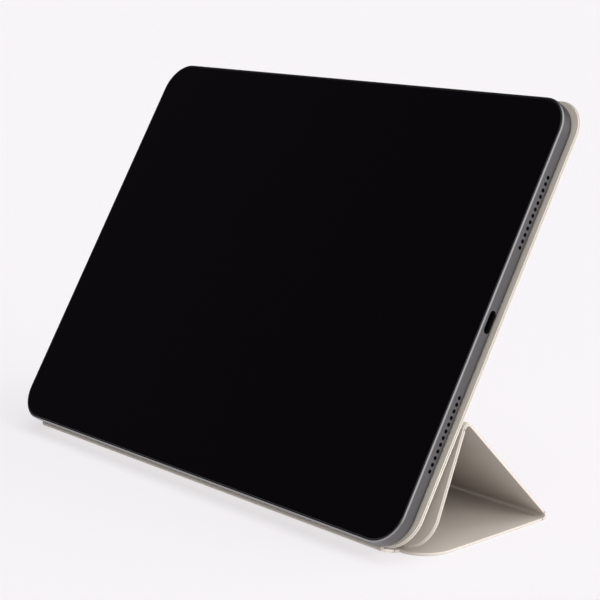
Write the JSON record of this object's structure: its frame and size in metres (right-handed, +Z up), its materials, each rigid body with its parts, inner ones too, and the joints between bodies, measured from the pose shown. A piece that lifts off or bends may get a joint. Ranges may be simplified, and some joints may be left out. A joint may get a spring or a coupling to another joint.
{
  "type": "tablet folio case",
  "caption": "Folding folio case standing open as a triangular stand, holding a landscape tablet; cover panels unfold and close over the screen.",
  "frame": {"origin": "on the table, under the middle of the standing case and tablet", "axes": "+X along the tablet's long edge to the right of the screen, +Y to the back, +Z up"},
  "size_m": [0.252, 0.1022, 0.1583],
  "materials": {
    "skin": "matt polyurethane skin, fine grain",
    "lining": "short microfibre nap",
    "board": "fibre board",
    "magnet": "nickel plated",
    "ring": "matt",
    "housing": "fine bead-blasted, anodised grey",
    "glass": "black, polished",
    "lens": "black, polished",
    "display": "black",
    "battery": "film wrapped",
    "circuit": "solder mask",
    "module": "black",
    "metal": "fine",
    "seal": "matt",
    "strip": "satin"
  },
  "bodies": {
    "rear_panel": {"rear_skin": "skin", "rear_board": "board", "rear_lining": "lining", "rear_upper_magnets": "magnet", "rear_lower_magnets": "magnet", "camera_ring": "ring", "root_crease": "skin"},
    "spine": {"spine_skin": "skin", "spine_board": "board", "spine_lining": "lining", "front_crease": "skin"},
    "base_panel": {"base_skin": "skin", "base_board": "board", "base_lining": "lining", "base_magnets": "magnet", "rear_crease": "skin"},
    "prop_panel": {"prop_skin": "skin", "prop_board": "board", "prop_lining": "lining", "apex_crease": "skin"},
    "end_panel": {"end_skin": "skin", "end_board": "board", "end_lining": "lining", "end_magnets": "magnet"},
    "tablet": {"tablet_housing": "housing", "cover_glass": "glass", "glass_seal": "seal", "display_panel": "display", "battery_cells": "battery", "logic_board": "circuit", "speakers": "module", "speaker_meshes": "metal", "power_switch": "module", "volume_switches": "module", "pen_charging_strip": "strip", "tablet_upper_magnets": "magnet", "tablet_lower_magnets": "magnet", "charging_port": "metal", "rear_camera": "module", "rear_camera_lens": "lens", "front_camera": "module"},
    "power_button": {"power_button": "housing"},
    "volume_up_button": {"volume_up_button": "housing"},
    "volume_down_button": {"volume_down_button": "housing"}
  },
  "joints": [
    {"name": "cover_fold", "type": "hinge", "parent": "rear_panel", "child": "spine", "pos_m": [0, -0.0459, 0.00321], "axis": [-1, 0, 0], "range_deg": [0, 193.05]},
    {"name": "front_fold", "type": "hinge", "parent": "spine", "child": "base_panel", "pos_m": [0, -0.03849, 0.00063], "axis": [-1, 0, 0], "range_deg": [0, 109.22]},
    {"name": "rear_fold", "type": "hinge", "parent": "base_panel", "child": "prop_panel", "pos_m": [0, 0.02851, 0.00063], "axis": [-1, 0, 0], "range_deg": [0, 132.85]},
    {"name": "apex_fold", "type": "hinge", "parent": "prop_panel", "child": "end_panel", "pos_m": [0, -0.01513, 0.04771], "axis": [-1, 0, 0], "range_deg": [0, 113.31]},
    {"name": "tablet_slide", "type": "slide", "parent": "rear_panel", "child": "tablet", "axis": [0, 0.5336, 0.8457], "range_m": [0, 0.19]},
    {"name": "power_press", "type": "slide", "parent": "tablet", "child": "power_button", "axis": [1, 0, 0], "range_m": [0, 0.0003], "stiffness_N_per_m": 400},
    {"name": "volume_up_press", "type": "slide", "parent": "tablet", "child": "volume_up_button", "axis": [0, -0.5336, -0.8457], "range_m": [0, 0.0003], "stiffness_N_per_m": 400},
    {"name": "volume_down_press", "type": "slide", "parent": "tablet", "child": "volume_down_button", "axis": [0, -0.5336, -0.8457], "range_m": [0, 0.0003], "stiffness_N_per_m": 400}
  ],
  "couplings": [
    {"joint": "front_fold", "follows": "cover_fold", "ratio": 0.56568},
    {"joint": "rear_fold", "follows": "cover_fold", "ratio": 0.68808},
    {"joint": "apex_fold", "follows": "cover_fold", "ratio": 0.58685}
  ]
}
